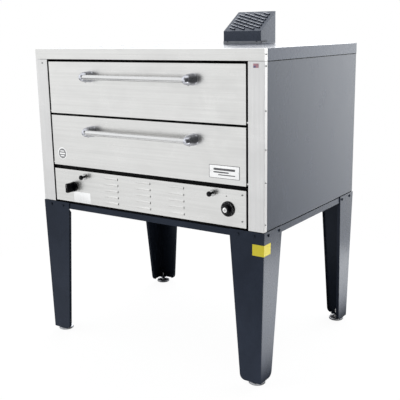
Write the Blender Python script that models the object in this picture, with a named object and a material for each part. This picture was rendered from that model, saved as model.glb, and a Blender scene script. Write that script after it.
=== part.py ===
"""Two-door gas pizza deck oven on four tapered sheet-steel legs.

Frame: X runs along the width, Y from the door side to the rear, Z up from the floor.
The origin is on the floor, under the middle of the bounding box.  Positions in the
tables below are given from the body's own datum: x from the centre line, y from the
plane of the door faces, z from the underside of the body.
"""
import math

import bmesh
import bpy
from mathutils import Matrix, Vector

# Driving dimensions, metres
BODY_WIDTH = 1.295
BODY_DEPTH = 0.951
BODY_HEIGHT = 0.762
BODY_UNDERSIDE = 0.715           # height of the body's underside above the floor
HOOD_OVERHANG = 0.096            # the draft hood and flue stand out behind the back
HANDLE_REACH = 0.066             # front of the handle brackets, ahead of the doors

GAP = 0.0003                     # between pieces that touch
SHEET = 0.0015                   # stainless and painted cladding
FRAME_PLATE = 0.004              # legs and front frame
HALF_WIDTH = BODY_WIDTH / 2
REAR = BODY_DEPTH
HOOD_REAR = BODY_DEPTH + HOOD_OVERHANG
Y_DATUM = -(HOOD_REAR - HANDLE_REACH) / 2
Z_DATUM = BODY_UNDERSIDE

# Legs and base frame
LEG_PROUD = 0.0025               # the leg's flanges stand outside the body
LEG_FOOT_Z = -0.699
LEG_LEAN = 0.017                 # the outer corner moves inward over the height
LEG_FRONT_TOP, LEG_FRONT_FOOT = 0.174, 0.105
LEG_SIDE_TOP, LEG_SIDE_FOOT = 0.162, 0.100
LEG_CORNER_RADIUS = 0.024
LEG_LIP = 0.016                  # depth of the folded lip along each inner edge
RAIL_TOP, RAIL_BOTTOM = -0.0050, -0.0335
FOOT_INSET = 0.041
FOOT_RADIUS = 0.038
FOOT_THICKNESS = 0.009
FOOT_STEM_RADIUS = 0.006

# Front of the body
OPENING_HALF = 0.571
HEADER_Z = 0.7127
SEAM_Z = 0.7115                  # top of the posts, sides and back, under header and cover
CORNER_RETURN = 0.0255
SIDE_FOLD = 0.020
PANEL_HALF = 0.561
PANEL_Z = (0.008, 0.172)
FRAME_Y = 0.045
DOOR_DEPTH = 0.042
DOOR_HEIGHT = 0.2495
DOOR_Z = {"lower": 0.1915, "upper": 0.4515}
HINGE_Y, HINGE_RISE, HINGE_RADIUS = 0.008, 0.010, 0.005
HANDLE_RISE = 0.182
HANDLE_HALF_SPAN = 0.295
HANDLE_TUBE_Y = -0.052
HANDLE_TUBE_RADIUS = 0.012

# Chambers: a stone deck below each door
CHAMBER_HALF = 0.5355
CHAMBER_REAR = 0.880
CEILING_Z = 0.692
DECK_HALF = 0.530
DECK_THICKNESS = 0.038
DECK_TOP = {"lower": 0.212, "upper": 0.472}
WINDOW_HEIGHT = 0.217

# Draft hood and flue
HOOD_X = 0.016                   # the flue sits slightly right of the centre line
HOOD_HALF = 0.1175
HOOD_FRONT_Y = 0.885
HOOD_FRONT_HEIGHT = 0.068
HOOD_REAR_HEIGHT = 0.172
HOOD_SLOT_ROWS = 9
HOOD_SLOT_TILT = math.radians(23)
HOOD_SLOT_PITCH = 0.0255         # measured up the slope
HOOD_SLOT_REACH = (0.098, 0.080)  # half the slotted area across and up the slope

# Controls: x, z of each one's axis on the control panel
THERMOSTAT = (0.470, 0.084)
GAS_VALVE = (-0.438, 0.087)
BUTTONS = {"pilot": (-0.358, 0.145), "igniter": (0.392, 0.147)}
LOUVRE_COLUMNS = (-0.194, 0.001, 0.192)
LOUVRE_ROWS = 5
LOUVRE_PITCH = 0.030
LOUVRE_SIZE = (0.090, 0.004)


def make_material(name, colour, roughness, metallic):
    material = bpy.data.materials.new(name)
    material.use_nodes = True
    shader = material.node_tree.nodes["Principled BSDF"]
    shader.inputs["Base Color"].default_value = (*colour, 1.0)
    shader.inputs["Roughness"].default_value = roughness
    shader.inputs["Metallic"].default_value = metallic
    return material


def finish_object(name, mesh_data, material, round_piece=False):
    """Turn a bmesh given from the body's datum into a named object with its own material."""
    bmesh.ops.recalc_face_normals(mesh_data, faces=mesh_data.faces)
    mesh = bpy.data.meshes.new(name)
    mesh_data.to_mesh(mesh)
    mesh_data.free()
    if round_piece:
        mesh.shade_smooth()
        mesh.set_sharp_from_angle(angle=math.radians(35))
    mesh.materials.append(make_material(name, *material))
    piece = bpy.data.objects.new(name, mesh)
    bpy.context.collection.objects.link(piece)
    piece.location = (0.0, Y_DATUM, Z_DATUM)
    return piece


def add_box(mesh_data, low, high):
    size = [b - a for a, b in zip(low, high)]
    middle = [(a + b) / 2 for a, b in zip(low, high)]
    matrix = Matrix.Translation(middle) @ Matrix.Diagonal((*size, 1.0))
    return bmesh.ops.create_cube(mesh_data, size=1.0, matrix=matrix)


def box(name, low, high, material):
    mesh_data = bmesh.new()
    add_box(mesh_data, low, high)
    return finish_object(name, mesh_data, material)


def add_cylinder(mesh_data, centre, axis, radius, length, segments=32, end_radius=None):
    """A cylinder or cone standing on centre and running along axis."""
    turn = Vector((0.0, 0.0, 1.0)).rotation_difference(Vector(axis)).to_matrix().to_4x4()
    shift = Matrix.Translation((0.0, 0.0, length / 2))
    bmesh.ops.create_cone(
        mesh_data, cap_ends=True, segments=segments, depth=length, radius1=radius,
        radius2=radius if end_radius is None else end_radius,
        matrix=Matrix.Translation(centre) @ turn @ shift)


def cylinder(name, centre, axis, radius, length, material, segments=32):
    mesh_data = bmesh.new()
    add_cylinder(mesh_data, centre, axis, radius, length, segments)
    return finish_object(name, mesh_data, material, round_piece=True)


def add_prism(mesh_data, outline, along, start, end):
    """Extrude an outline, given in the plane across one axis, from start to end."""
    places = {"X": lambda a, b, c: (c, a, b), "Y": lambda a, b, c: (a, c, b),
              "Z": lambda a, b, c: (a, b, c)}
    corners = [mesh_data.verts.new(places[along](a, b, start)) for a, b in outline]
    face = mesh_data.faces.new(corners)
    result = bmesh.ops.extrude_face_region(mesh_data, geom=[face])
    moved = [item for item in result["geom"] if isinstance(item, bmesh.types.BMVert)]
    bmesh.ops.translate(mesh_data, verts=moved, vec=places[along](0.0, 0.0, end - start))


def prism(name, outline, along, start, end, material):
    mesh_data = bmesh.new()
    add_prism(mesh_data, outline, along, start, end)
    return finish_object(name, mesh_data, material)


def pan(name, low, high, wall, open_side, material):
    """A folded sheet tray: a box whose open side is inset by the wall and pushed in."""
    mesh_data = bmesh.new()
    add_box(mesh_data, low, high)
    bmesh.ops.recalc_face_normals(mesh_data, faces=mesh_data.faces)
    direction = Vector(open_side)
    mouth = max(mesh_data.faces, key=lambda face: face.normal.dot(direction))
    bmesh.ops.inset_region(mesh_data, faces=[mouth], thickness=wall, use_even_offset=True)
    floor = bmesh.ops.extrude_discrete_faces(mesh_data, faces=[mouth])["faces"][0]
    depth = sum(abs(d) * (b - a) for a, b, d in zip(low, high, direction)) - wall
    bmesh.ops.translate(mesh_data, verts=floor.verts, vec=-direction * depth)
    return finish_object(name, mesh_data, material)


def combine(target, operation, tool):
    """Cut a tool from a target, or weld it on; the tool stays in the file as a guide."""
    tool.hide_render = True
    tool.display_type = "WIRE"
    modifier = target.modifiers.new(tool.name, "BOOLEAN")
    modifier.operation = operation
    modifier.solver = "EXACT"
    modifier.object = tool


def tool_from(name, mesh_data):
    return finish_object(name, mesh_data, GUIDE)


def pivot(name, x, y, z, pieces):
    """An empty on a joint's axis, which carries the pieces that move with it."""
    empty = bpy.data.objects.new(name, None)
    empty.empty_display_size = 0.05
    empty.location = (x, y + Y_DATUM, z + Z_DATUM)
    bpy.context.collection.objects.link(empty)
    for piece in pieces:
        piece.parent = empty
        piece.matrix_parent_inverse = Matrix.Translation(-empty.location)


# Colour, roughness and metallic value of each finish
STAINLESS = ((0.70, 0.69, 0.68), 0.32, 1.0)
CHROME = ((0.80, 0.80, 0.80), 0.08, 1.0)
SLATE = ((0.035, 0.039, 0.050), 0.35, 0.0)
BLACK_STEEL = ((0.012, 0.012, 0.013), 0.45, 0.0)
GALVANISED = ((0.55, 0.56, 0.57), 0.45, 1.0)
STONE = ((0.62, 0.55, 0.45), 0.90, 0.0)
WOOL = ((0.75, 0.70, 0.50), 0.95, 0.0)
BLACK_PLASTIC = ((0.010, 0.010, 0.011), 0.30, 0.0)
ZINC = ((0.50, 0.50, 0.50), 0.35, 1.0)
GUIDE = ((1.0, 0.3, 0.1), 0.5, 0.0)


def make_leg(name, side, end):
    """A tapered angle section with a folded lip along each of its two inner edges.

    Side is -1 or 1 along X, end is 0 at the front and 1 at the rear.
    """
    top = -0.0015
    plate = FRAME_PLATE

    def at(x, y):
        depth = y if end == 0 else REAR - y
        return side * x, depth

    def section(z, trim, lip):
        share = (top - z) / (top - LEG_FOOT_Z)
        front_width = LEG_FRONT_TOP + (LEG_FRONT_FOOT - LEG_FRONT_TOP) * share - trim
        side_width = LEG_SIDE_TOP + (LEG_SIDE_FOOT - LEG_SIDE_TOP) * share - trim
        x = HALF_WIDTH + LEG_PROUD - LEG_LEAN * share
        y = -LEG_PROUD
        outline = [(x, y), (x - front_width, y), (x - front_width, y + lip),
                   (x - front_width + plate, y + lip), (x - front_width + plate, y + plate),
                   (x - plate, y + plate), (x - plate, y + side_width - plate),
                   (x - lip, y + side_width - plate), (x - lip, y + side_width),
                   (x, y + side_width)]
        return [Vector((*at(a, b), z)) for a, b in outline]

    lip_top = RAIL_BOTTOM - 0.004
    levels = [section(top, 0.0, plate), section(lip_top, 0.0, plate),
              section(lip_top - LEG_LIP, 0.0, LEG_LIP)]
    for step in range(5):
        angle = math.radians(90 * step / 4)
        levels.append(section(LEG_FOOT_Z + LEG_CORNER_RADIUS * (1 - math.sin(angle)),
                              LEG_CORNER_RADIUS * (1 - math.cos(angle)),
                              LEG_LIP if step < 4 else plate))
    mesh_data = bmesh.new()
    rings = [[mesh_data.verts.new(point) for point in level] for level in levels]
    for upper, lower in zip(rings, rings[1:]):
        for first in range(len(upper)):
            second = (first + 1) % len(upper)
            mesh_data.faces.new((upper[first], upper[second], lower[second], lower[first]))
    mesh_data.faces.new(rings[0])
    mesh_data.faces.new(rings[-1])
    bmesh.ops.remove_doubles(mesh_data, verts=mesh_data.verts, dist=0.00001)
    leg = finish_object(name, mesh_data, SLATE)

    centre = foot_centre(side, end)
    outer = HALF_WIDTH + LEG_PROUD - LEG_LEAN - 0.002
    xs = sorted((side * outer, side * (abs(centre[0]) - 0.022)))
    ys = sorted((at(0.0, -0.0005)[1], at(0.0, FOOT_INSET + 0.018)[1]))
    gusset = bmesh.new()
    add_box(gusset, (xs[0], ys[0], LEG_FOOT_Z + 0.014), (xs[1], ys[1], LEG_FOOT_Z + 0.019))
    combine(leg, "UNION", tool_from(name + "_gusset", gusset))
    hole = bmesh.new()
    add_cylinder(hole, (*centre, LEG_FOOT_Z), (0, 0, 1), FOOT_STEM_RADIUS + 0.0003, 0.05)
    combine(leg, "DIFFERENCE", tool_from(name + "_hole", hole))
    return leg


def foot_centre(side, end):
    x = side * (HALF_WIDTH + LEG_PROUD - LEG_LEAN - FOOT_INSET)
    y = FOOT_INSET - LEG_PROUD
    return x, y if end == 0 else REAR - y


def make_foot(name, side, end):
    """A disc with a chamfered rim on a threaded stem, which passes through the leg's gusset."""
    x, y = foot_centre(side, end)
    mesh_data = bmesh.new()
    add_cylinder(mesh_data, (x, y, -Z_DATUM), (0, 0, 1), FOOT_RADIUS, FOOT_THICKNESS, 48)
    foot = finish_object(name, mesh_data, BLACK_STEEL, round_piece=True)
    stem = bmesh.new()
    add_cylinder(stem, (x, y, -Z_DATUM + 0.001), (0, 0, 1), FOOT_STEM_RADIUS, 0.055)
    combine(foot, "UNION", tool_from(name + "_stem", stem))
    pivot(name + "_axis", x, y, -Z_DATUM, [foot])
    return foot


def build_base():
    for side, side_name in ((-1, "left"), (1, "right")):
        for end, end_name in ((0, "front"), (1, "rear")):
            make_leg(f"leg_{end_name}_{side_name}", side, end)
            make_foot(f"foot_{end_name}_{side_name}", side, end)

    flange, wall = 0.030, 0.003
    inner = FRAME_PLATE - LEG_PROUD + GAP
    angle = [(inner, RAIL_BOTTOM), (inner, RAIL_TOP), (inner + flange, RAIL_TOP),
             (inner + flange, RAIL_TOP - wall), (inner + wall, RAIL_TOP - wall),
             (inner + wall, RAIL_BOTTOM)]
    lean = LEG_LEAN * RAIL_BOTTOM / LEG_FOOT_Z
    half = HALF_WIDTH - inner - lean
    prism("base_rail_front", angle, "X", -half, half, SLATE)
    prism("base_rail_rear", [(REAR - y, z) for y, z in angle], "X", -half, half, SLATE)
    start, end = inner + flange + GAP, REAR - inner - flange - GAP
    for side, name in ((-1, "base_rail_left"), (1, "base_rail_right")):
        outline = [(side * (HALF_WIDTH - lean - y), z) for y, z in angle]
        prism(name, outline, "Y", start, end, SLATE)
    box("base_plate", (-HALF_WIDTH + 0.008, 0.012, RAIL_TOP + GAP),
        (HALF_WIDTH - 0.008, REAR - 0.008, -GAP), GALVANISED)


def build_shell():
    """Stainless corner posts and header at the front, painted sides, back and top."""
    for side, name in ((-1, "left"), (1, "right")):
        outline = [(OPENING_HALF, 0.0), (HALF_WIDTH, 0.0), (HALF_WIDTH, CORNER_RETURN),
                   (HALF_WIDTH - SHEET, CORNER_RETURN), (HALF_WIDTH - SHEET, SHEET),
                   (OPENING_HALF, SHEET)]
        outline = [(side * x, y) for x, y in outline]
        prism(f"corner_post_{name}", outline, "Z", 0.0, SEAM_Z, STAINLESS)

        outer, inner = HALF_WIDTH - SHEET - GAP, HALF_WIDTH - 2 * SHEET - GAP
        fold = outer - SIDE_FOLD
        wall = [(outer, 0.0), (outer, SEAM_Z), (fold, SEAM_Z), (fold, SEAM_Z - SHEET),
                (inner, SEAM_Z - SHEET), (inner, SHEET), (fold, SHEET), (fold, 0.0)]
        prism(f"side_panel_{name}", [(side * x, z) for x, z in wall], "Y", 0.010,
              REAR - SHEET - GAP, SLATE)

    pan("header_trim", (-HALF_WIDTH, 0.0, HEADER_Z), (HALF_WIDTH, CORNER_RETURN, BODY_HEIGHT),
        SHEET, (0, 1, 0), STAINLESS)
    top = pan("top_cover", (-HALF_WIDTH, CORNER_RETURN + GAP, SEAM_Z + GAP),
              (HALF_WIDTH, REAR, BODY_HEIGHT), SHEET, (0, 0, -1), SLATE)
    vent = bmesh.new()
    add_box(vent, (HOOD_X - HOOD_HALF + 0.02, HOOD_FRONT_Y + 0.010, BODY_HEIGHT - 0.010),
            (HOOD_X + HOOD_HALF - 0.02, REAR - 0.010, BODY_HEIGHT + 0.010))
    combine(top, "DIFFERENCE", tool_from("top_cover_vent", vent))
    back = box("back_panel", (-HALF_WIDTH + SHEET + GAP, REAR - SHEET, 0.0),
               (HALF_WIDTH - SHEET - GAP, REAR, SEAM_Z), SLATE)
    return back


def build_front_frame():
    """The black frame behind the doors: two chamber windows over the burner window."""
    half = HALF_WIDTH - SIDE_FOLD - 0.0025
    frame = box("front_frame", (-half, FRAME_Y, 0.0), (half, FRAME_Y + FRAME_PLATE, 0.757),
                BLACK_STEEL)
    windows = bmesh.new()
    rear = FRAME_Y + 0.020
    add_box(windows, (-CHAMBER_HALF, FRAME_Y - 0.010, 0.012), (CHAMBER_HALF, rear, 0.150))
    for deck in ("lower", "upper"):
        sill = DECK_TOP[deck] - 0.004
        add_box(windows, (-CHAMBER_HALF, FRAME_Y - 0.010, sill),
                (CHAMBER_HALF, rear, sill + WINDOW_HEIGHT))
    combine(frame, "DIFFERENCE", tool_from("front_frame_windows", windows))
    ledge = bmesh.new()
    add_box(ledge, (-PANEL_HALF, 0.012, 0.1745), (PANEL_HALF, FRAME_Y + 0.002, 0.185))
    combine(frame, "UNION", tool_from("front_frame_ledge", ledge))

    x0, x1 = 0.5735, 0.5795
    for side, name in ((-1, "left"), (1, "right")):
        low_x, high_x = sorted((side * x0, side * x1))
        strap = box(f"hinge_plate_{name}", (low_x, 0.0018, 0.178),
                    (high_x, FRAME_Y - GAP, 0.500), GALVANISED)
        holes = bmesh.new()
        for deck in ("lower", "upper"):
            centre = (low_x - 0.005, HINGE_Y, DOOR_Z[deck] + HINGE_RISE)
            add_cylinder(holes, centre, (1, 0, 0), HINGE_RADIUS + 0.00015, 0.016)
        combine(strap, "DIFFERENCE", tool_from(f"hinge_plate_{name}_holes", holes))


def build_chambers(back):
    """Liner, insulation and stone decks; ledges on the side liners carry the stones."""
    frame_rear = FRAME_Y + FRAME_PLATE + GAP
    liner, ledge = 0.002, 0.018
    bottom, top = 0.0, CEILING_Z - GAP
    outer = CHAMBER_HALF + liner
    for side, name in ((-1, "left"), (1, "right")):
        outline = [(outer, bottom), (outer, top), (CHAMBER_HALF, top)]
        for deck in ("upper", "lower"):
            under = DECK_TOP[deck] - DECK_THICKNESS - GAP
            outline += [(CHAMBER_HALF, under), (CHAMBER_HALF - ledge, under),
                        (CHAMBER_HALF - ledge, under - 0.003), (CHAMBER_HALF, under - 0.003)]
        outline += [(CHAMBER_HALF, bottom)]
        prism(f"chamber_side_{name}", [(side * x, z) for x, z in outline], "Y", frame_rear,
              CHAMBER_REAR, GALVANISED)
        low_x, high_x = sorted((side * (outer + GAP), side * (HALF_WIDTH - 0.025)))
        box(f"insulation_{name}", (low_x, frame_rear, 0.002), (high_x, CHAMBER_REAR, 0.740), WOOL)

    box("chamber_ceiling", (-outer, frame_rear, CEILING_Z),
        (outer, CHAMBER_REAR, CEILING_Z + liner), GALVANISED)
    box("insulation_top", (-outer, frame_rear, CEILING_Z + liner + GAP),
        (outer, CHAMBER_REAR, 0.740), WOOL)
    chamber_back = box("chamber_back", (-0.622, CHAMBER_REAR + GAP, 0.0),
                       (0.622, CHAMBER_REAR + liner, 0.740), GALVANISED)
    wool_back = box("insulation_back", (-0.622, CHAMBER_REAR + liner + GAP, 0.002),
                    (0.622, REAR - SHEET - GAP, 0.705), WOOL)
    for piece in (chamber_back, wool_back, back):
        ports = bmesh.new()
        for low_z in (0.345, 0.605):
            add_box(ports, (HOOD_X - 0.090, CHAMBER_REAR - 0.020, low_z),
                    (HOOD_X + 0.090, REAR + 0.010, low_z + 0.050))
        combine(piece, "DIFFERENCE", tool_from(piece.name + "_ports", ports))

    for deck in ("lower", "upper"):
        box(f"stone_deck_{deck}", (-DECK_HALF, frame_rear + 0.002, DECK_TOP[deck] - DECK_THICKNESS),
            (DECK_HALF, frame_rear + 0.815, DECK_TOP[deck]), STONE)


def build_burners():
    height = 0.085
    for x, name in ((-0.270, "left"), (0.270, "right")):
        burner = cylinder(f"burner_{name}", (x, 0.098, height), (0, 1, 0), 0.019, 0.720,
                          GALVANISED, 24)
        stands = bmesh.new()
        for y in (0.200, 0.700):
            add_box(stands, (x - 0.030, y, 0.0), (x + 0.030, y + 0.004, height))
        combine(burner, "UNION", tool_from(burner.name + "_stands", stands))
    valve_x, dial_x = GAS_VALVE[0], THERMOSTAT[0]
    box("gas_valve_body", (valve_x - 0.030, 0.030, 0.057), (valve_x + 0.030, 0.090, 0.117), ZINC)
    box("thermostat_body", (dial_x - 0.030, 0.030, 0.054), (dial_x + 0.030, 0.090, 0.114), ZINC)
    start = valve_x + 0.030 + GAP
    cylinder("gas_manifold", (start, 0.075, height), (1, 0, 0), 0.0125,
             dial_x - 0.030 - GAP - start, ZINC, 24)
    box("flame_baffle", (-0.500, 0.110, 0.1315), (0.500, 0.820, 0.1340), GALVANISED)


def build_flue():
    """A three-sided flue riser behind the back panel and the slotted draft hood on top."""
    outer, inner = HOOD_HALF - 0.0025, HOOD_HALF - 0.0025 - SHEET
    front, rear = REAR + GAP, HOOD_REAR - SHEET
    channel = [(-outer, front), (-outer, rear), (outer, rear), (outer, front), (inner, front),
               (inner, rear - SHEET), (-inner, rear - SHEET), (-inner, front)]
    channel = [(HOOD_X + x, y) for x, y in channel]
    prism("flue_riser", channel, "Z", 0.100, BODY_HEIGHT - 0.001, SLATE)

    foot = BODY_HEIGHT + GAP
    outline = [(HOOD_FRONT_Y, foot), (HOOD_REAR, foot), (HOOD_REAR, BODY_HEIGHT + HOOD_REAR_HEIGHT),
               (HOOD_FRONT_Y, BODY_HEIGHT + HOOD_FRONT_HEIGHT)]
    hood = prism("draft_hood", outline, "X", HOOD_X - HOOD_HALF, HOOD_X + HOOD_HALF, SLATE)
    slope = math.atan2(HOOD_REAR_HEIGHT - HOOD_FRONT_HEIGHT, HOOD_REAR - HOOD_FRONT_Y)
    drop = SHEET / math.cos(slope)
    rise = math.tan(slope) * SHEET
    space = [(HOOD_FRONT_Y + SHEET, foot - 0.010), (HOOD_REAR - SHEET, foot - 0.010),
             (HOOD_REAR - SHEET, BODY_HEIGHT + HOOD_REAR_HEIGHT - drop - rise),
             (HOOD_FRONT_Y + SHEET, BODY_HEIGHT + HOOD_FRONT_HEIGHT - drop + rise)]
    hollow = bmesh.new()
    add_prism(hollow, space, "X", HOOD_X - HOOD_HALF + SHEET, HOOD_X + HOOD_HALF - SHEET)
    combine(hood, "DIFFERENCE", tool_from("draft_hood_space", hollow))

    slots = bmesh.new()
    middle = Vector((HOOD_X, (HOOD_FRONT_Y + HOOD_REAR) / 2,
                     BODY_HEIGHT + (HOOD_FRONT_HEIGHT + HOOD_REAR_HEIGHT) / 2))
    for row in range(-(HOOD_SLOT_ROWS // 2), HOOD_SLOT_ROWS // 2 + 1):
        climb = row * HOOD_SLOT_PITCH
        left = max(-HOOD_SLOT_REACH[0], (climb - HOOD_SLOT_REACH[1]) / math.tan(HOOD_SLOT_TILT))
        right = min(HOOD_SLOT_REACH[0], (climb + HOOD_SLOT_REACH[1]) / math.tan(HOOD_SLOT_TILT))
        centre = (left + right) / 2
        length = (right - left) / math.cos(HOOD_SLOT_TILT)
        matrix = (Matrix.Translation(middle) @ Matrix.Rotation(slope, 4, "X")
                  @ Matrix.Translation((centre, climb - centre * math.tan(HOOD_SLOT_TILT), 0.0))
                  @ Matrix.Rotation(-HOOD_SLOT_TILT, 4, "Z")
                  @ Matrix.Diagonal((length, 0.007, 0.012, 1.0)))
        bmesh.ops.create_cube(slots, size=1.0, matrix=matrix)
    combine(hood, "DIFFERENCE", tool_from("draft_hood_slots", slots))


def build_controls():
    panel = pan("control_panel", (-PANEL_HALF, 0.0, PANEL_Z[0]),
                (PANEL_HALF, FRAME_Y - GAP, PANEL_Z[1]), SHEET, (0, 1, 0), STAINLESS)
    bezels = bmesh.new()
    for x, z in BUTTONS.values():
        add_cylinder(bezels, (x, -0.005, z), (0, 1, 0), 0.0115, 0.006)
    combine(panel, "UNION", tool_from("button_bezels", bezels))
    cuts = bmesh.new()
    for x in LOUVRE_COLUMNS:
        for row in range(LOUVRE_ROWS):
            z = (PANEL_Z[0] + PANEL_Z[1]) / 2 + (row - (LOUVRE_ROWS - 1) / 2) * LOUVRE_PITCH
            add_box(cuts, (x - LOUVRE_SIZE[0] / 2, -0.010, z - LOUVRE_SIZE[1] / 2),
                    (x + LOUVRE_SIZE[0] / 2, 0.010, z + LOUVRE_SIZE[1] / 2))
    for x, z in (THERMOSTAT, GAS_VALVE, *BUTTONS.values()):
        add_cylinder(cuts, (x, -0.010, z), (0, 1, 0), 0.0048, 0.020)
    combine(panel, "DIFFERENCE", tool_from("control_panel_cuts", cuts))

    shaft_end = 0.030 - GAP
    x, z = THERMOSTAT
    dial = cylinder("thermostat_knob", (x, -0.0015, z), (0, -1, 0), 0.034, 0.0065, BLACK_PLASTIC, 48)
    grip = bmesh.new()
    add_cylinder(grip, (x, -0.006, z), (0, -1, 0), 0.018, 0.020, 32, 0.016)
    combine(dial, "UNION", tool_from("thermostat_grip", grip))
    shaft = bmesh.new()
    add_cylinder(shaft, (x, -0.004, z), (0, 1, 0), 0.004, shaft_end + 0.004, 24)
    combine(dial, "UNION", tool_from("thermostat_shaft", shaft))
    pivot("thermostat_axis", x, 0.0, z, [dial])

    x, z = GAS_VALVE
    knob = cylinder("gas_valve_knob", (x, -0.0015, z), (0, -1, 0), 0.025, 0.0085, BLACK_PLASTIC, 40)
    bar = bmesh.new()
    add_box(bar, (x - 0.009, -0.053, z - 0.0235), (x + 0.009, -0.008, z + 0.0235))
    combine(knob, "UNION", tool_from("gas_valve_bar", bar))
    shaft = bmesh.new()
    add_cylinder(shaft, (x, -0.004, z), (0, 1, 0), 0.004, shaft_end + 0.004, 24)
    combine(knob, "UNION", tool_from("gas_valve_shaft", shaft))
    pivot("gas_valve_axis", x, 0.0, z, [knob])

    for name, (x, z) in BUTTONS.items():
        button = cylinder(f"{name}_button", (x, -0.026, z), (0, -1, 0), 0.012, 0.010,
                          BLACK_PLASTIC, 32)
        stem = bmesh.new()
        add_cylinder(stem, (x, -0.028, z), (0, 1, 0), 0.0042, 0.052, 24)
        combine(button, "UNION", tool_from(f"{name}_button_stem", stem))
        pivot(f"{name}_button_axis", x, 0.0, z, [button])


def make_bracket(name, x, z):
    """A cast handle bracket: an eight-sided taper with a socket for the tube."""
    def ring(half_x, half_z, y):
        cut_x, cut_z = half_x * 0.45, half_z * 0.45
        outline = [(half_x, half_z - cut_z), (half_x - cut_x, half_z), (cut_x - half_x, half_z),
                   (-half_x, half_z - cut_z), (-half_x, cut_z - half_z), (cut_x - half_x, -half_z),
                   (half_x - cut_x, -half_z), (half_x, cut_z - half_z)]
        return [(x + a, y, z + b) for a, b in outline]

    mesh_data = bmesh.new()
    loops = []
    for points in (ring(0.0255, 0.0260, -GAP), ring(0.0260, 0.0265, -0.020),
                   ring(0.0225, 0.0235, -0.046), ring(0.0130, 0.0145, -HANDLE_REACH)):
        corners = [mesh_data.verts.new(point) for point in points]
        loops.append([mesh_data.edges.new(pair)
                      for pair in zip(corners, corners[1:] + corners[:1])])
    for first, second in zip(loops, loops[1:]):
        bmesh.ops.bridge_loops(mesh_data, edges=first + second)
    bmesh.ops.holes_fill(mesh_data, edges=loops[0] + loops[-1])
    bracket = finish_object(name, mesh_data, CHROME)
    socket = bmesh.new()
    inward = -math.copysign(1.0, x)
    add_cylinder(socket, (x, HANDLE_TUBE_Y, z), (inward, 0, 0), HANDLE_TUBE_RADIUS + GAP, 0.050)
    combine(bracket, "DIFFERENCE", tool_from(name + "_socket", socket))
    return bracket


def build_door(deck):
    """A drop-down door: outer skin with its two pivot pins, inner pan, core and handle."""
    bottom = DOOR_Z[deck]
    top = bottom + DOOR_HEIGHT
    hinge_z = bottom + HINGE_RISE
    skin_depth = 0.0225
    skin = pan(f"door_skin_{deck}", (-PANEL_HALF, 0.0, bottom), (PANEL_HALF, skin_depth, top),
               SHEET, (0, 1, 0), STAINLESS)
    pins = bmesh.new()
    for side in (-1, 1):
        add_cylinder(pins, (side * (PANEL_HALF - 0.001), HINGE_Y, hinge_z), (side, 0, 0),
                     HINGE_RADIUS, 0.0255)
    combine(skin, "UNION", tool_from(f"door_pins_{deck}", pins))

    inner_half = PANEL_HALF - 0.003
    wall = 0.0012
    inner = pan(f"door_inner_{deck}", (-inner_half, skin_depth + GAP, bottom + 0.003),
                (inner_half, DOOR_DEPTH, top - 0.003), wall, (0, -1, 0), BLACK_STEEL)
    core_half = inner_half - wall - GAP
    inset = 0.003 + wall + GAP
    core = box(f"door_core_{deck}", (-core_half, SHEET + GAP, bottom + inset),
               (core_half, DOOR_DEPTH - wall - GAP, top - inset), WOOL)

    handle_z = bottom + HANDLE_RISE
    tube = cylinder(f"handle_tube_{deck}", (-HANDLE_HALF_SPAN + GAP, HANDLE_TUBE_Y, handle_z),
                    (1, 0, 0), HANDLE_TUBE_RADIUS, 2 * (HANDLE_HALF_SPAN - GAP), CHROME)
    bore = bmesh.new()
    add_cylinder(bore, (-HANDLE_HALF_SPAN - 0.01, HANDLE_TUBE_Y, handle_z), (1, 0, 0),
                 HANDLE_TUBE_RADIUS - 0.0015, 2 * HANDLE_HALF_SPAN + 0.02)
    combine(tube, "DIFFERENCE", tool_from(f"handle_tube_{deck}_bore", bore))
    brackets = [make_bracket(f"handle_bracket_{name}_{deck}", side * HANDLE_HALF_SPAN, handle_z)
                for side, name in ((-1, "left"), (1, "right"))]
    pivot(f"door_{deck}_axis", 0.0, HINGE_Y, hinge_z, [skin, inner, core, tube, *brackets])


def main():
    for old in list(bpy.data.objects):
        bpy.data.objects.remove(old, do_unlink=True)
    build_base()
    back = build_shell()
    build_front_frame()
    build_chambers(back)
    build_burners()
    build_flue()
    build_controls()
    for deck in ("lower", "upper"):
        build_door(deck)


main()
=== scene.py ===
"""Looks of the two-door gas deck oven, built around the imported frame.

Positions are given from the body's own datum, in metres: x from the centre line, y from
the plane of the door faces, z from the underside of the body.
"""
import math
import random

import bmesh
import bpy
from mathutils import Matrix, Vector


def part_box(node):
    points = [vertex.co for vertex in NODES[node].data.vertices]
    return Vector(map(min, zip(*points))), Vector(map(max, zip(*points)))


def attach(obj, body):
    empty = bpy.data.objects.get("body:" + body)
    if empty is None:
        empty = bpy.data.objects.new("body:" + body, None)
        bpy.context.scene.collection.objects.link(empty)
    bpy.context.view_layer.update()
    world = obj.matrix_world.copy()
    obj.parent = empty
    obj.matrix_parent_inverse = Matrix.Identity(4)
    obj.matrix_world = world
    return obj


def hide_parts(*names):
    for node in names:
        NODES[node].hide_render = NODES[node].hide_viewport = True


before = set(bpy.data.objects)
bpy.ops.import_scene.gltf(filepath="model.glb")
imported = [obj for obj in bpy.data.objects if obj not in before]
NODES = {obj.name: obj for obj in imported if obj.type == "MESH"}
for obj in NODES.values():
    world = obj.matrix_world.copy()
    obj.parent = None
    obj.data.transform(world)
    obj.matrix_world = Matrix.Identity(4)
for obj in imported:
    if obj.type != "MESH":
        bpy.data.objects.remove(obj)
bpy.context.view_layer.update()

DOOR_DEPTH = 0.042
DATUM = Vector((0.0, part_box("door_inner_lower")[1].y - DOOR_DEPTH,
                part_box("corner_post_left")[0].z))
SIDES = ((-1, "left"), (1, "right"))

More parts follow.
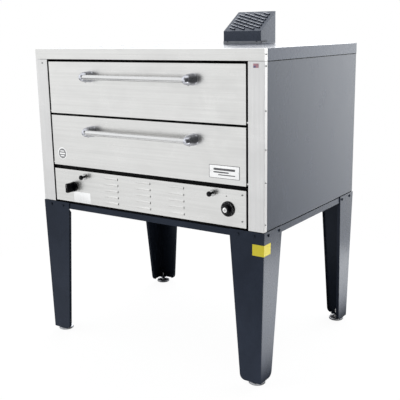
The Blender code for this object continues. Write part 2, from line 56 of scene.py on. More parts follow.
# Body, doors and handles
HALF_WIDTH = 0.6475
REAR = 0.951
HEIGHT = 0.762
DOORS = {"lower": 0.1915, "upper": 0.4515}
HANDLE_RISE = 0.182
TUBE_Y = -0.052
TUBE_RADIUS = 0.012
TUBE_WALL = 0.0015
TUBE_HALF = 0.2947
BRACKET_X = 0.295
BRACKET_STEPS, BRACKET_SEGMENTS = 13, 36
DOME_POWER = 2.6
SECTION_POWER = 0.95

# Controls: x and z of each axis, and where the shafts start behind the panel
THERMOSTAT = (0.470, 0.084)
GAS_KNOB = (-0.438, 0.087)
BUTTONS = {"pilot": (-0.358, 0.145), "igniter": (0.392, 0.147)}
SHAFT_START = 0.028
DIAL_FLUTES = 18
DIAL_MARKS = 28

# Labels and plates: x and z of the middle
NAMEPLATE = (0.453, 0.244)
ROUND_LABEL = (-0.503, 0.250)
RATING_LABEL = (-0.385, 0.0365)
STICKER = (0.608, 0.694)
DATA_PLATE = (0.395, 0.300)
# The blank bars in place of lettering: how far left of the middle and below it, half
# length and half height
NAMEPLATE_BARS = (
    (0.0, -0.0105, 0.055, 0.0048),
    (0.016, 0.0025, 0.039, 0.0030),
    (-0.012, 0.0135, 0.043, 0.0022),
)
SEAL_BARS = (
    (0.0, 0.0120, 0.0130, 0.0030),
    (0.0, 0.0, 0.0190, 0.0036),
    (0.0, -0.0120, 0.0130, 0.0030),
)

# Louvres: length, half height, rise and sheet thickness of one, how open it is (from 0 to
# 1) at distances along it, and the columns and the lowest row on each face
LOUVRE_LENGTH, LOUVRE_HALF, LOUVRE_RISE, LOUVRE_SHEET = 0.090, 0.0066, 0.0034, 0.0006
LOUVRE_STATIONS = ((0.0, 0.02), (0.015, 0.16), (0.035, 0.36), (0.060, 0.66), (0.080, 0.92),
                   (0.087, 1.0), (0.090, 1.0))
LOUVRE_STEPS = 10
LOUVRE_ROWS, LOUVRE_PITCH = 5, 0.030
PANEL_LOUVRES = ((-0.194, 0.001, 0.192), 0.030)
BACK_LOUVRES = ((-0.460, -0.300, 0.330, 0.490), 0.070)

# Screws and bolts: x of the columns, z of the rows, and single places
POST_SCREW_Y = 0.014
POST_SCREW_ROWS = (0.739, 0.692, 0.512, 0.352, 0.213, 0.032)
PANEL_COLUMNS, PANEL_ROWS = (0.5415,), (0.152, 0.036)
HEADER_SCREW = (-0.605, 0.0, 0.694)
THERMOSTAT_SCREW = (0.4625, 0.0, 0.1395)
BACK_COLUMNS = (-0.630, -0.420, -0.210, 0.232, 0.430, 0.630)
BACK_ROWS = (0.018, 0.694)
BACK_SIDE_ROWS = (0.190, 0.360, 0.530)
FLUE_COLUMNS = (-0.080, 0.112)
FLUE_ROWS = (0.130, 0.430, 0.730)
FLUE_REAR = 1.0455
HOOD_FOOT_COLUMNS = (-0.075, 0.107)
BOLT_SIZE = 0.0105
SIDE_BOLTS_Y, SIDE_BOLTS_Z = (0.038, 0.134), -0.019
END_BOLTS_X, END_BOLTS_Z = (0.520, 0.600), -0.020

# Draft hood
HOOD_X, HOOD_HALF = 0.016, 0.1175
HOOD_FRONT, HOOD_REAR = 0.885, 1.047
HOOD_FRONT_HEIGHT, HOOD_REAR_HEIGHT = 0.068, 0.172
HOOD_SLOT_ROWS = 9
HOOD_SLOT_TILT = math.radians(23)
HOOD_SLOT_PITCH = 0.0255
HOOD_SLOT_REACH = (0.098, 0.080)
BLADE_LENGTH = 0.050

# Legs and feet: outer faces of the leg plates, the lean of a leg's side and the yellow tag
LEG_SIDE, LEG_FRONT = 0.6500, -0.0025
LEG_LEAN = math.atan(0.017 / 0.6975)
TAG_THICKNESS = 0.0006
TAG_HEIGHT = 0.050
TAG_MIDDLE = -0.080
THREAD_RIDGES = 27
THREAD_PITCH = 0.0015

# Camera: place in the row frame, turn about Z, tilt and roll in radians, focal length in mm
CAMERA_PLACE = (2.0708, -3.0513, 1.5474)
CAMERA_YAW, CAMERA_PITCH, CAMERA_ROLL = 0.5985, -0.2300, -0.0180
CAMERA_LENS = 64.82

# Studio: the floor's size, the light from everywhere, the share of it that is left well
# below the horizon, and soft lobes of light (a negative one takes light away)
FLOOR_RADIUS = 1.9
BASE_LIGHT = 0.25
LOW_SHADE = 0.85
LOBES = (
    # direction, outer and inner angle in degrees, radiance
    ((0.42, 0.90, -0.02), 62.0, 22.0, 0.62),
    ((0.09, 0.97, 0.20), 40.0, 10.0, 2.2),
    ((-0.55, 0.80, 0.22), 52.0, 18.0, 2.0),
    ((-0.90, -0.42, 0.30), 54.0, 6.0, 1.03),
    ((-0.30, -0.88, -0.34), 31.0, 4.0, 0.80),
    ((0.0, 0.1, 1.0), 52.0, 12.0, 0.9),
    ((0.84, -0.50, -0.15), 64.0, 34.0, -0.16),
)


# ---------------- node trees

class Graph:
    """A node tree with short calls for the nodes that the materials and the studio need."""

    def __init__(self, tree):
        self.tree = tree

    def feed(self, socket, value):
        """Link the value if it is a socket itself, or else set it."""
        if isinstance(value, bpy.types.NodeSocket):
            self.tree.links.new(value, socket)
        else:
            socket.default_value = value

    def node(self, kind, inputs=None, **settings):
        """A new node with its settings, and with values or links on its inputs."""
        made = self.tree.nodes.new(f"ShaderNode{kind}")
        for key, value in settings.items():
            setattr(made, key, value)
        for key, value in (inputs or {}).items():
            self.feed(made.inputs[key], value)
        return made

    def remap(self, value, low, high, start=0.0, end=1.0, interpolation="LINEAR"):
        return self.node("MapRange", {"Value": value, "From Min": low, "From Max": high,
                                      "To Min": start, "To Max": end},
                         interpolation_type=interpolation).outputs["Result"]

    def maths(self, operation, first, second):
        return self.node("Math", {0: first, 1: second}, operation=operation).outputs[0]

    def vector_maths(self, operation, first, second):
        return self.node("VectorMath", {0: first, 1: second}, operation=operation).outputs

    def split(self, vector):
        """The X, Y and Z of a vector, by name."""
        return self.node("SeparateXYZ", {0: vector}).outputs

    def mix(self, share, first, second):
        """Colour first where share is 0 and second where it is 1."""
        made = self.node("Mix", {"Factor": share}, data_type="RGBA")
        colours = [socket for socket in made.inputs if socket.type == "RGBA"]
        for socket, value in zip(colours, (first, second)):
            self.feed(socket, value if isinstance(value, bpy.types.NodeSocket) else (*value, 1.0))
        return [socket for socket in made.outputs if socket.type == "RGBA"][0]

    def seen_as(self, lit, seen):
        """The shader lit for light that bounces, and seen for what the camera meets itself."""
        camera_ray = self.node("LightPath").outputs["Is Camera Ray"]
        return self.node("MixShader", {"Fac": camera_ray, 1: lit, 2: seen}).outputs[0]


class Look(Graph):
    """A Principled material with textures in object coordinates."""

    def __init__(self, name, colour, roughness, metallic=0.0, **sockets):
        self.material = bpy.data.materials.new(name)
        self.material.use_nodes = True
        super().__init__(self.material.node_tree)
        self.shader = self.tree.nodes["Principled BSDF"]
        self.set("Base Color", (*colour, 1.0))
        self.set("Roughness", roughness)
        self.set("Metallic", metallic)
        for key, value in sockets.items():
            self.set(key.replace("_", " "), value)
        self.coordinates = self.node("TexCoord").outputs["Object"]

    def set(self, socket, value):
        self.feed(self.shader.inputs[socket], value)

    def place(self, scale):
        """Coordinates in cycles, from one scale for all axes or one per axis, per metre."""
        if isinstance(scale, float):
            scale = (scale, scale, scale)
        return self.node("Mapping", {"Vector": self.coordinates, "Scale": scale}).outputs["Vector"]

    def noise(self, scale, detail=2.0, roughness=0.5, distortion=0.0):
        return self.node("TexNoise", {"Vector": self.place(scale), "Scale": 1.0,
                                      "Detail": detail, "Roughness": roughness,
                                      "Distortion": distortion}).outputs["Fac"]

    def cells(self, scale, output):
        return self.node("TexVoronoi", {"Vector": self.place(scale),
                                        "Scale": 1.0}).outputs[output]

    def facing_in(self):
        """Above zero where a face looks towards the middle of the base, and below elsewhere."""
        normal = self.node("NewGeometry").outputs["Normal"]
        outward = self.split(self.vector_maths("MULTIPLY", normal, self.coordinates)["Vector"])
        return self.maths("MULTIPLY", self.maths("ADD", outward["X"], outward["Y"]), -1.0)

    def bump(self, height, strength, distance):
        made = self.node("Bump", {"Height": height, "Strength": strength, "Distance": distance})
        self.set("Normal", made.outputs["Normal"])


# ---------------- materials

def tint(colour, factor):
    return tuple(factor * channel for channel in colour)


def brushed(name, along, colour=(0.74, 0.735, 0.72), side_shade_share=1.0):
    """Brushed stainless sheet; the grain runs along one axis.

    The flange folded onto the side of the case is darkened to the given share of the
    colour: painted shade on that side.
    """
    look = Look(name, colour, 0.30, 1.0)
    fine, broad = {"X": ((3.0, 1500.0, 1500.0), (1.2, 90.0, 90.0)),
                   "Z": ((1500.0, 1500.0, 3.0), (90.0, 90.0, 1.2))}[along]
    grain = look.noise(fine, 3.0, 0.6)
    streaks = look.noise(broad, 4.0, 0.65)
    smudges = look.noise((5.0, 5.0, 7.0), 4.0, 0.6, 0.8)
    tone = look.mix(look.remap(streaks, 0.35, 0.65), tint(colour, 0.955), tint(colour, 1.03))
    tone = look.mix(look.remap(smudges, 0.55, 0.75, 0.0, 0.35), tone, tint(colour, 0.92))
    # Painted shade: the side flange gets a darker colour.
    if side_shade_share < 1.0:
        spread = look.maths("ABSOLUTE", look.split(look.coordinates)["X"], 0.0)
        tone = look.mix(look.remap(spread, HALF_WIDTH - 0.0012, HALF_WIDTH - 0.0004), tone,
                        tint(colour, side_shade_share))
    look.set("Base Color", tone)
    look.set("Roughness", look.maths("ADD", look.remap(grain, 0.3, 0.7, 0.25, 0.36),
                                     look.remap(smudges, 0.35, 0.75, -0.02, 0.07)))
    look.bump(look.maths("ADD", look.remap(grain, 0.0, 1.0, 0.0, 0.5),
                         look.remap(streaks, 0.0, 1.0, 0.0, 0.5)), 0.10, 0.0002)
    return look.material


def chromed(name, colour, roughness):
    """Plated or polished metal with scratches and handling marks."""
    look = Look(name, colour, roughness, 1.0)
    smudges = look.noise(40.0, 3.0, 0.6, 0.5)
    scratches = look.noise((30.0, 900.0, 900.0), 2.0)
    look.set("Roughness", look.maths(
        "ADD", look.remap(smudges, 0.4, 0.8, roughness, roughness + 0.09),
        look.remap(scratches, 0.6, 0.8, 0.0, 0.04)))
    look.bump(smudges, 0.05, 0.0004)
    return look.material


def painted(name, colour, roughness, ior=1.5, base=False):
    """Sprayed enamel with orange peel, faint mottling and a few rubbed spots.

    On the base, the faces at the very front have lost part of their gloss to cleaning, and the
    inner faces of the legs are darker and duller: painted shade.
    """
    look = Look(name, colour, roughness, IOR=ior)
    look.set("Specular Tint", (0.74, 0.84, 1.0, 1.0))
    peel = look.noise(420.0, 2.0, 0.5)
    mottle = look.noise((9.0, 9.0, 6.0), 4.0, 0.6, 0.4)
    specks = look.cells(260.0, "Distance")
    tone = look.mix(look.remap(mottle, 0.3, 0.7), tint(colour, 0.86), tint(colour, 1.16))
    coat = look.mix(look.remap(specks, 0.04, 0.10, 0.25, 0.0), tone, tint(colour, 2.2))
    if base:
        # Painted shade: faces that look inward get a darker colour and less gloss.
        inside = look.remap(look.facing_in(), -0.02, 0.02)
        behind = look.remap(look.split(look.coordinates)["Y"], DATUM.y + 0.0018,
                            DATUM.y + 0.0040, 0.17, 0.5)
        look.set("Specular IOR Level", look.maths("MULTIPLY", behind,
                                                  look.remap(inside, 0.0, 1.0, 1.0, 0.45)))
        coat = look.mix(inside, coat, tint(colour, 0.6))
    look.set("Base Color", coat)
    look.set("Roughness", look.maths(
        "ADD", look.remap(mottle, 0.3, 0.7, roughness - 0.03, roughness + 0.05),
        look.remap(peel, 0.3, 0.7, -0.02, 0.02)))
    look.bump(peel, 0.12, 0.0004)
    return look.material


def galvanised(name, colour=(0.52, 0.53, 0.54)):
    """Zinc-coated sheet with its spangle and a little white bloom."""
    look = Look(name, colour, 0.45, 1.0)
    spangle = look.node("RGBToBW", {0: look.cells(70.0, "Color")}).outputs[0]
    bloom = look.noise(12.0, 5.0, 0.65)
    tone = look.mix(spangle, tint(colour, 0.78), tint(colour, 1.15))
    look.set("Base Color", look.mix(look.remap(bloom, 0.5, 0.8, 0.0, 0.5), tone,
                                    (0.62, 0.62, 0.60)))
    look.set("Roughness", look.remap(spangle, 0.0, 1.0, 0.34, 0.55))
    look.bump(bloom, 0.08, 0.0005)
    return look.material


def soot_and_shade_steel(name, colour):
    """Near-black plate inside and under the oven front, with soot and heat tint; the near-black is
    partly painted shade.
    """
    look = Look(name, colour, 0.55, IOR=1.2)
    soot = look.noise(14.0, 6.0, 0.7, 0.6)
    fine = look.noise(350.0, 3.0)
    look.set("Base Color", look.mix(look.remap(soot, 0.45, 0.7), tint(colour, 0.35), colour))
    look.set("Roughness", look.remap(soot, 0.3, 0.7, 0.48, 0.72))
    look.bump(fine, 0.15, 0.0004)
    return look.material


def fired_stone(name):
    """Cordierite deck: fine aggregate, pores, flour dust and scorch marks."""
    look = Look(name, (0.55, 0.47, 0.37), 0.9)
    grain = look.noise(300.0, 4.0, 0.65)
    pores = look.cells(420.0, "Distance")
    scorch = look.noise(7.0, 5.0, 0.6, 0.5)
    tone = look.mix(look.remap(grain, 0.35, 0.65), (0.46, 0.39, 0.30), (0.66, 0.58, 0.47))
    tone = look.mix(look.remap(scorch, 0.52, 0.74, 0.0, 0.75), tone, (0.10, 0.075, 0.055))
    look.set("Base Color", look.mix(look.remap(pores, 0.10, 0.22, 0.7, 0.0), tone,
                                    (0.20, 0.16, 0.12)))
    look.set("Roughness", look.remap(grain, 0.3, 0.7, 0.82, 0.97))
    look.bump(look.maths("ADD", grain, look.remap(pores, 0.0, 0.25, 0.0, 0.6)), 0.5, 0.0006)
    return look.material


def mineral_wool(name):
    """Yellowish insulation batt with matted fibres."""
    look = Look(name, (0.66, 0.58, 0.36), 1.0, Sheen_Weight=0.3)
    fibres = look.noise((60.0, 900.0, 240.0), 5.0, 0.75, 2.0)
    clumps = look.noise(30.0, 4.0, 0.6, 1.0)
    tone = look.mix(look.remap(fibres, 0.3, 0.7), (0.50, 0.43, 0.25), (0.78, 0.71, 0.48))
    look.set("Base Color", look.mix(look.remap(clumps, 0.5, 0.8, 0.0, 0.6), tone,
                                    (0.40, 0.35, 0.22)))
    look.bump(look.maths("ADD", fibres, clumps), 0.8, 0.003)
    return look.material


def moulded(name, colour, roughness):
    """Moulded plastic with a fine spark texture and handling sheen."""
    look = Look(name, colour, roughness, IOR=1.28)
    texture = look.noise(700.0, 3.0, 0.6)
    touch = look.noise(45.0, 3.0, 0.6)
    look.set("Base Color", look.mix(look.remap(touch, 0.3, 0.7), tint(colour, 0.8),
                                    tint(colour, 1.25)))
    look.set("Roughness", look.remap(touch, 0.3, 0.75, roughness - 0.06, roughness + 0.08))
    look.bump(texture, 0.10, 0.0003)
    return look.material


def cast_metal(name, colour, roughness):
    """Sand-cast or bare worn metal with dull stains, or the light grey of a painted highlight."""
    look = Look(name, colour, roughness, 1.0)
    sand = look.noise(500.0, 4.0, 0.65)
    stain = look.noise(35.0, 4.0, 0.6)
    look.set("Base Color", look.mix(look.remap(stain, 0.35, 0.7), colour, tint(colour, 0.7)))
    look.set("Roughness", look.remap(sand, 0.3, 0.7, roughness - 0.08, roughness + 0.1))
    look.bump(sand, 0.35, 0.0005)
    return look.material


def printed(name, colour, roughness=0.45, metallic=0.0, painted_glow=0.0):
    """Label film or vinyl: faint fibre, scuffs and a slightly uneven surface.

    Given a glow, the label glows in a warm yellow: painted light, as it is no lamp.
    """
    look = Look(name, colour, roughness, metallic)
    # Painted light: an emission glow on a label that is no lamp.
    if painted_glow:
        look.set("Emission Color", (1.0, 0.86, 0.05, 1.0))
        look.set("Emission Strength", painted_glow)
    fibre = look.noise(600.0, 3.0)
    scuffs = look.noise((60.0, 60.0, 20.0), 4.0, 0.7, 0.5)
    look.set("Base Color", look.mix(look.remap(scuffs, 0.55, 0.8, 0.0, 0.5), colour,
                                    tint(colour, 0.82)))
    look.set("Roughness", look.remap(scuffs, 0.3, 0.7, roughness - 0.05, roughness + 0.12))
    look.bump(fibre, 0.08, 0.0003)
    return look.material


DOOR_STEEL = brushed("door_steel", "X")
# The side flanges of the corner posts are darkened: painted shade.
POST_STEEL = brushed("post_steel", "Z", (0.72, 0.715, 0.71), side_shade_share=0.74)
# The chrome is tinted a little blue: painted light, for the bluish studio light that it reflects.
CHROME = chromed("polished_chrome", (0.62, 0.63, 0.68), 0.10)
TUBE_STEEL = chromed("satin_tube", (0.70, 0.70, 0.70), 0.20)
SCREW_STEEL = chromed("screw_steel", (0.55, 0.55, 0.55), 0.22)
SLATE_COLOUR = (0.025, 0.032, 0.050)
SLATE = painted("slate_enamel", SLATE_COLOUR, 0.22)
# A lighter copy of the slate enamel for the top cover, the hood and its blades: painted light, as
# these are lit from above.
LIT_TOP_SLATE = painted("lit_top_slate_enamel", (0.060, 0.070, 0.100), 0.26, 1.52)
# The legs and rails are darker on their inner faces: painted shade.
LEG_SLATE = painted("leg_enamel", SLATE_COLOUR, 0.26, 1.42, base=True)
BLACK_METAL = painted("black_hardware", (0.014, 0.014, 0.016), 0.40)
FLANGE_GREY = galvanised("flange_zinc", (0.30, 0.315, 0.34))
GALVANISED = galvanised("galvanised_sheet")
# The front frame, door pans, base plate and hinge plates are near black, partly as painted shade
# in the gaps between doors.
BLACKENED_SHADE = soot_and_shade_steel("blackened_steel_shade", (0.008, 0.008, 0.010))
SHADE_SHEET = soot_and_shade_steel("shadowed_sheet", (0.020, 0.020, 0.022))
STONE = fired_stone("fired_stone")
WOOL = mineral_wool("mineral_wool_batt")
PLASTIC = moulded("black_phenolic", (0.003, 0.003, 0.005), 0.16)
# Flat black for cross recesses, louvre mouths, seams and gaps: painted shade.
SHADE_BLACK = moulded("painted_shade_black", (0.004, 0.004, 0.004), 0.7)
# Light grey for the lips of the hood blades: a painted highlight.
LIP_HIGHLIGHT = cast_metal("lip_highlight", (0.38, 0.40, 0.45), 0.34)
FOOT_STEEL = cast_metal("foot_steel", (0.52, 0.53, 0.56), 0.32)
ZINC = cast_metal("cast_zinc_body", (0.48, 0.48, 0.47), 0.42)
LABEL_SILVER = brushed("label_silver", "X", (0.86, 0.86, 0.85))
LABEL_WHITE = printed("label_white", (1.0, 1.0, 0.995), 0.30, 1.0)
LABEL_GREY = printed("label_grey", (0.16, 0.16, 0.17))
LABEL_BLUE = printed("label_blue", (0.16, 0.18, 0.36))
LABEL_RED = printed("label_red", (0.66, 0.34, 0.40))
LABEL_PEWTER = printed("label_pewter", (0.40, 0.40, 0.41), 0.40)
# The yellow tag glows a little: painted light.
TAG_YELLOW = printed("tag_yellow", (0.64, 0.54, 0.015), painted_glow=0.13)
DIAL_MARK = printed("dial_mark", (0.75, 0.75, 0.75))

NODE_LOOKS = (
    (("door_skin", "header_trim", "control_panel"), DOOR_STEEL),
    (("corner_post",), POST_STEEL),
    (("handle",), CHROME),
    (("leg", "base_rail"), LEG_SLATE),
    (("side_panel", "back_panel", "flue_riser"), SLATE),
    (("top_cover", "draft_hood"), LIT_TOP_SLATE),
    (("front_frame", "door_inner"), BLACKENED_SHADE),
    (("chamber", "burner", "flame_baffle"), GALVANISED),
    (("base_plate", "hinge_plate"), SHADE_SHEET),
    (("stone_deck",), STONE),
    (("insulation", "door_core"), WOOL),
    (("thermostat_knob", "gas_valve_knob", "pilot_button", "igniter_button"), PLASTIC),
    (("gas_manifold", "gas_valve_body", "thermostat_body"), ZINC),
    (("foot",), BLACK_METAL),
)
# Radius of the folded edges
NODE_BENDS = (
    (("door_skin",), 0.0014),
    (("header_trim", "corner_post", "top_cover", "side_panel"), 0.0012),
    (("draft_hood", "leg", "flue_riser"), 0.0010),
    (("base_rail",), 0.0008),
)


# ---------------- mesh helpers

def add_bevel(piece, width, angle):
    bevel = piece.modifiers.new("bevel", "BEVEL")
    bevel.width = width
    bevel.segments = 2
    bevel.limit_method = "ANGLE"
    bevel.angle_limit = math.radians(angle)


def soften(node, width):
    """Round the folded edges of a CAD node a little, without touching its mesh."""
    weld = node.modifiers.new("weld", "WELD")
    weld.merge_threshold = 0.00002
    flat = node.modifiers.new("flat", "DECIMATE")
    flat.decimate_type = "DISSOLVE"
    flat.angle_limit = math.radians(0.5)
    add_bevel(node, width, 40.0)


def take_mesh(name, mesh_data):
    """A mesh from a bmesh, which is freed."""
    mesh = bpy.data.meshes.new(name)
    mesh_data.to_mesh(mesh)
    mesh_data.free()
    return mesh


def add_object(name, data):
    made = bpy.data.objects.new(name, data)
    bpy.context.scene.collection.objects.link(made)
    return made


def finish_piece(name, mesh_data, materials, body, replaces=(), smooth=40.0, bevel=0.0):
    """Make the object, in the row frame, from a bmesh given from the body's datum."""
    bmesh.ops.recalc_face_normals(mesh_data, faces=mesh_data.faces)
    bmesh.ops.translate(mesh_data, verts=mesh_data.verts, vec=DATUM)
    mesh = take_mesh(name, mesh_data)
    for material in materials:
        mesh.materials.append(material)
    piece = add_object(name, mesh)
    if bevel:
        add_bevel(piece, bevel, 35.0)
    if smooth:
        mesh.shade_smooth()
        mesh.set_sharp_from_angle(angle=math.radians(smooth))
    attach(piece, body)
    if replaces:
        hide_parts(*replaces)


def frame_along(place, axis):
    """A matrix that puts local +Z along axis, at place."""
    turn = Vector((0.0, 0.0, 1.0)).rotation_difference(Vector(axis)).to_matrix().to_4x4()
    return Matrix.Translation(place) @ turn


def on_front(x, z, y=0.0):
    """A matrix with local X to the right, Y up and Z out of the front of the oven."""
    return frame_along((x, y, z), (0, -1, 0))


def label_place(x, z):
    """A matrix for a label on the front: local X to the left, Y down and Z outward."""
    return on_front(x, z) @ Matrix.Rotation(math.pi, 4, "Z")


def add_ring(mesh_data, points, matrix=Matrix.Identity(4)):
    return [mesh_data.verts.new(matrix @ Vector(point)) for point in points]


def add_loft(mesh_data, rings, material=0, closed=()):
    """Faces from ring to ring, and over the rings in closed; a ring may be a single point."""
    for lower, upper in zip(rings, rings[1:]):
        count = max(len(lower), len(upper))
        for step in range(count):
            after = (step + 1) % count
            if len(lower) == 1:
                corners = [lower[0], upper[step], upper[after]]
            elif len(upper) == 1:
                corners = [lower[step], lower[after], upper[0]]
            else:
                corners = [lower[step], lower[after], upper[after], upper[step]]
            mesh_data.faces.new(corners).material_index = material
    for index in closed:
        mesh_data.faces.new(rings[index]).material_index = material


def add_turned(mesh_data, matrix, profile, segments, material=0):
    """Turn a profile of (radius, height) points about local Z."""
    rings = []
    for radius, height in profile:
        count = segments if radius else 1
        angles = [2 * math.pi * step / segments for step in range(count)]
        rings.append(add_ring(mesh_data, [(radius * math.cos(angle), radius * math.sin(angle),
                                           height) for angle in angles], matrix))
    add_loft(mesh_data, rings, material)


def add_block(mesh_data, low, high, matrix=Matrix.Identity(4), material=0):
    """A block between two corners."""
    size = [b - a for a, b in zip(low, high)]
    middle = [(a + b) / 2 for a, b in zip(low, high)]
    made = bmesh.ops.create_cube(mesh_data, size=1.0, matrix=matrix
                                 @ Matrix.Translation(middle) @ Matrix.Diagonal((*size, 1.0)))
    for face in {face for vert in made["verts"] for face in vert.link_faces}:
        face.material_index = material


def rounded_outline(half_x, half_y, radius, steps=5):
    """The corners' arcs of a rounded rectangle, from the right-hand top one."""
    points = []
    for quarter, (side_x, side_y) in enumerate(((1, 1), (-1, 1), (-1, -1), (1, -1))):
        for step in range(steps + 1):
            angle = math.radians(90 * quarter + 90 * step / steps)
            points.append((side_x * (half_x - radius) + radius * math.cos(angle),
                           side_y * (half_y - radius) + radius * math.sin(angle)))
    return points


def add_plate(mesh_data, matrix, outline, rings, material=0):
    """Loft an outline through (inset, height) rings along local Z and close both ends."""
    loops = [add_ring(mesh_data, [(a - math.copysign(min(inset, abs(a)), a),
                                   b - math.copysign(min(inset, abs(b)), b), height)
                                  for a, b in outline], matrix) for inset, height in rings]
    add_loft(mesh_data, loops, material, closed=(0, -1))


def add_bars(mesh_data, matrix, bars, foot, material):
    """Blank printed bars, raised a hair above the surface at height foot."""
    for x, y, half_x, half_y in bars:
        add_plate(mesh_data, matrix @ Matrix.Translation((x, y, 0.0)),
                  rounded_outline(half_x, half_y, 0.95 * half_y),
                  [(0.0, foot), (0.0, foot + 0.00025), (0.0003, foot + 0.0003)], material)


def add_screw(mesh_data, place, axis, radius, turn):
    """A pan-head screw; material 0 is the metal and 1 the cross recess, painted black as shade."""
    matrix = frame_along(place, axis)
    rim, rise = 0.0006, 0.55 * radius
    arc = [math.radians(90 * step / 5) for step in range(1, 5)]
    add_turned(mesh_data, matrix, [(radius, -0.0002), (radius, rim),
                                   *((radius * math.cos(angle), rim + rise * math.sin(angle))
                                     for angle in arc), (0.0, rim + rise)], 20)
    # The cross recess is drawn as black blocks on the head: painted shade.
    for angle in (turn, turn + math.pi / 2):
        add_block(mesh_data, (-0.55 * radius, -0.11 * radius, rim + rise - 0.35 * radius),
                  (0.55 * radius, 0.11 * radius, rim + rise + 0.00005),
                  matrix @ Matrix.Rotation(angle, 4, "Z"), 1)


def add_screw_grid(mesh_data, columns, rows, y, facing, radius, draw):
    """Screws at every column and row of one face, each turned by a random amount."""
    for x in columns:
        for z in rows:
            add_screw(mesh_data, (x, y, z), (0, facing, 0), radius, draw.uniform(0, 1.5))


def add_bolt(mesh_data, place, axis):
    """A flanged hex bolt head."""
    matrix = frame_along(place, axis)
    add_turned(mesh_data, matrix, [(BOLT_SIZE * 0.74, -0.0002), (BOLT_SIZE * 0.74, 0.0008),
                                   (BOLT_SIZE * 0.68, 0.0014), (0.0, 0.0014)], 28)
    corner = BOLT_SIZE / 2 / math.cos(math.pi / 6)
    add_turned(mesh_data, matrix, [(corner, 0.0008), (corner, 0.0042), (corner * 0.88, 0.0050),
                                   (0.0, 0.0050)], 6)


# ---------------- doors

def make_tube(deck, z):
    """The polished grip tube, with its ends rolled over."""
    tube = bmesh.new()
    inner, rolled, length = TUBE_RADIUS - TUBE_WALL, TUBE_RADIUS - 0.0006, 2 * TUBE_HALF
    add_turned(tube, frame_along((-TUBE_HALF, TUBE_Y, z), (1, 0, 0)),
               [(inner, 0.0), (rolled, 0.0), (TUBE_RADIUS, 0.0006), (TUBE_RADIUS, 0.05),
                (TUBE_RADIUS, TUBE_HALF), (TUBE_RADIUS, length - 0.05),
                (TUBE_RADIUS, length - 0.0006), (rolled, length), (inner, length),
                (inner, TUBE_HALF), (inner, 0.0)], 56)
    finish_piece(f"grip_tube_{deck}", tube, (TUBE_STEEL,), f"{deck}_door",
                 (f"handle_tube_{deck}",), smooth=30.0)


def make_bracket(deck, z, side, label):
    """A cast bracket that stands out from its foot on the door as a blunt dome.

    The dome stops just short of its tip, which is a small flat.
    """
    sections = [(0.0268, 0.0270, -0.0003), (0.0268, 0.0270, -0.0018), (0.0256, 0.0258, -0.0030)]
    for step in range(BRACKET_STEPS):
        depth = math.sin(math.radians(90 * step / (BRACKET_STEPS - 0.4)))
        share = (1.0 - depth ** DOME_POWER) ** (1 / DOME_POWER)
        sections.append((0.0252 * share, 0.0257 * share, -0.0034 - 0.0626 * depth))
    angles = [2 * math.pi * step / BRACKET_SEGMENTS for step in range(BRACKET_SEGMENTS)]
    cast = bmesh.new()
    rings = []
    for half_x, half_z, y in sections:
        points = []
        for angle in angles:
            across, up = math.cos(angle), math.sin(angle)
            points.append((
                side * BRACKET_X + half_x * math.copysign(abs(across) ** SECTION_POWER, across),
                y, z + half_z * math.copysign(abs(up) ** SECTION_POWER, up)))
        rings.append(add_ring(cast, points))
    add_loft(cast, rings, closed=(0, -1))
    finish_piece(f"cast_bracket_{label}_{deck}", cast, (CHROME,), f"{deck}_door",
                 (f"handle_bracket_{label}_{deck}",), smooth=50.0)
    screw = bmesh.new()
    add_screw(screw, (side * BRACKET_X, TUBE_Y + 0.022, z - 0.0242), (0, 0, -1), 0.0032, 0.4)
    finish_piece(f"grip_set_screw_{label}_{deck}", screw, (SCREW_STEEL, SHADE_BLACK),
                 f"{deck}_door")


def make_nameplate():
    """A framed plate with blank bars, in the place of the maker's own."""
    plate = bmesh.new()
    matrix = label_place(*NAMEPLATE)
    add_plate(plate, matrix, rounded_outline(0.077, 0.029, 0.0035),
              [(0.0, -0.0001), (0.0, 0.0010), (0.0007, 0.0014), (0.0014, 0.0014),
               (0.0020, 0.0009)], 2)
    add_plate(plate, matrix, rounded_outline(0.0752, 0.0272, 0.002),
              [(0.0, 0.0005), (0.0, 0.00095), (0.0004, 0.0010)], 1)
    for x in (-0.070, 0.070):
        add_turned(plate, matrix @ Matrix.Translation((x, 0.0, 0.0009)),
                   [(0.0018, 0.0), (0.0016, 0.0006), (0.0009, 0.0010), (0.0, 0.0011)], 14)
    add_bars(plate, matrix, NAMEPLATE_BARS, 0.0009, 2)
    finish_piece("blank_nameplate", plate, (LABEL_SILVER, LABEL_WHITE, LABEL_GREY),
                 "lower_door")


def make_round_label():
    """A round seal: a light ring about a grey disc with blank bars."""
    seal = bmesh.new()
    matrix = on_front(*ROUND_LABEL)
    add_turned(seal, matrix, [(0.030, -0.0001), (0.030, 0.0002), (0.0296, 0.0003),
                              (0.0250, 0.0003)], 56, 1)
    add_turned(seal, matrix, [(0.0250, 0.0003), (0.0245, 0.00035), (0.0, 0.00035)], 56, 0)
    add_bars(seal, matrix, SEAL_BARS, 0.0003, 1)
    finish_piece("round_label", seal, (LABEL_PEWTER, LABEL_WHITE), "lower_door",
                 smooth=20.0)


# ---------------- front of the body

